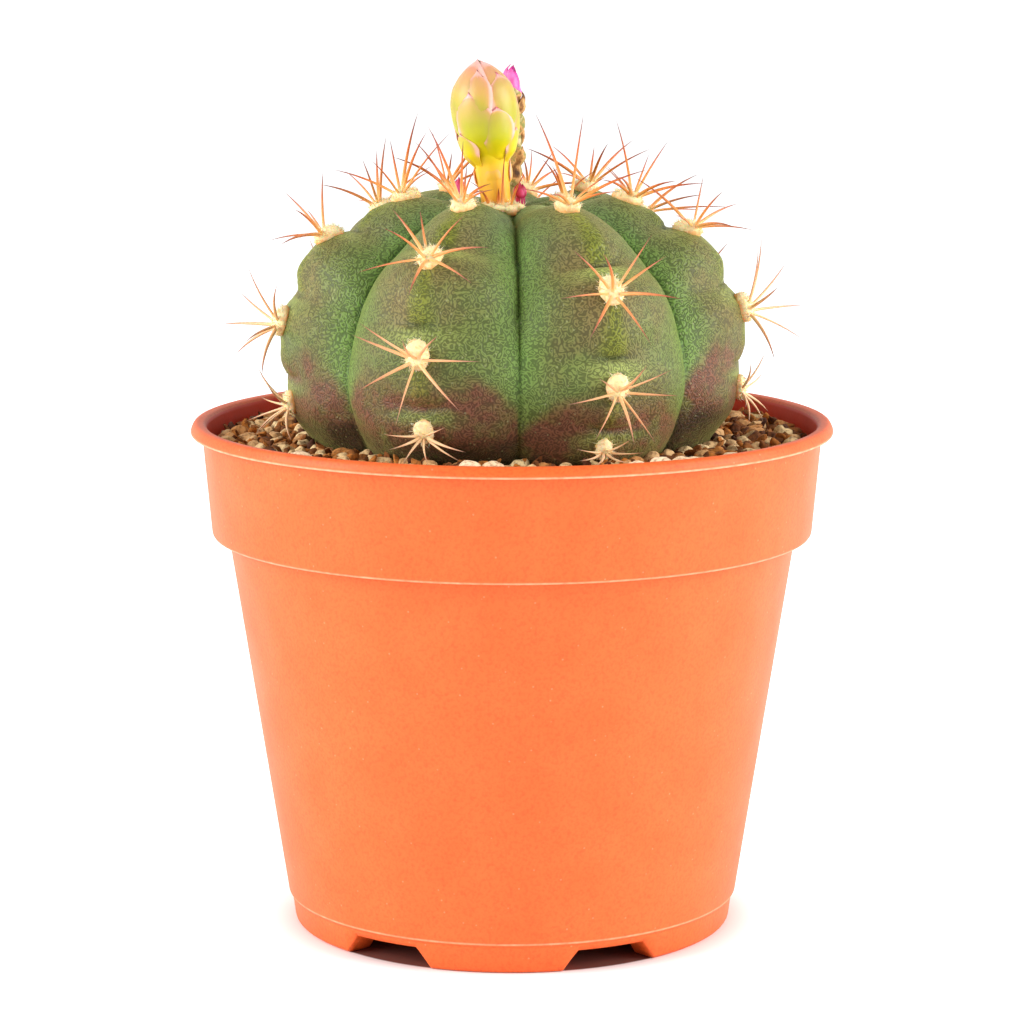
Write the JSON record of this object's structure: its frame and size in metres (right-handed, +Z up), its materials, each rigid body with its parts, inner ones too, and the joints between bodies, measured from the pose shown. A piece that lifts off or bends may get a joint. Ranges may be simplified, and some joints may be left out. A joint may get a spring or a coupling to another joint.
{
  "type": "potted round cactus",
  "caption": "Potted round cactus: a ribbed, spiny globe with a flower bud and a withered flower at its crown, rooted in grit in a tapered plastic pot with a stepped collar",
  "frame": {"origin": "on the ground under the middle of the pot", "axes": "+Z up through the plant, the front that the picture shows faces -Y, and +X is to the right of it"},
  "size_m": [0.12, 0.12, 0.1623],
  "materials": {
    "pot_plastic": "satin",
    "potting_grit": "matte",
    "cactus_skin": "satin",
    "bud_scales": "satin",
    "withered_petals": "matte",
    "young_bud_scales": "satin",
    "spines_and_wool": "matte"
  },
  "bodies": {
    "root": {"pot": "pot_plastic", "soil": "potting_grit", "cactus_body": "cactus_skin", "flower_bud": "bud_scales", "withered_flower": "withered_petals", "young_bud_left": "young_bud_scales", "young_bud_right": "young_bud_scales", "areole_crown_left": "spines_and_wool", "areole_crown_right": "spines_and_wool", "areole_flowering": "spines_and_wool", "areole_rib1_1": "spines_and_wool", "areole_rib1_2": "spines_and_wool", "areole_rib1_3": "spines_and_wool", "areole_rib1_4": "spines_and_wool", "areole_rib2_1": "spines_and_wool", "areole_rib2_2": "spines_and_wool", "areole_rib2_3": "spines_and_wool", "areole_rib2_4": "spines_and_wool", "areole_rib3_1": "spines_and_wool", "areole_rib3_2": "spines_and_wool", "areole_rib3_3": "spines_and_wool", "areole_rib3_4": "spines_and_wool", "areole_rib4_1": "spines_and_wool", "areole_rib4_2": "spines_and_wool", "areole_rib4_3": "spines_and_wool", "areole_rib4_4": "spines_and_wool", "areole_rib5_1": "spines_and_wool", "areole_rib5_2": "spines_and_wool", "areole_rib5_3": "spines_and_wool", "areole_rib5_4": "spines_and_wool", "areole_rib6_1": "spines_and_wool", "areole_rib6_2": "spines_and_wool", "areole_rib6_3": "spines_and_wool", "areole_rib6_4": "spines_and_wool", "areole_rib7_1": "spines_and_wool", "areole_rib7_2": "spines_and_wool", "areole_rib7_3": "spines_and_wool", "areole_rib7_4": "spines_and_wool"}
  },
  "joints": []
}
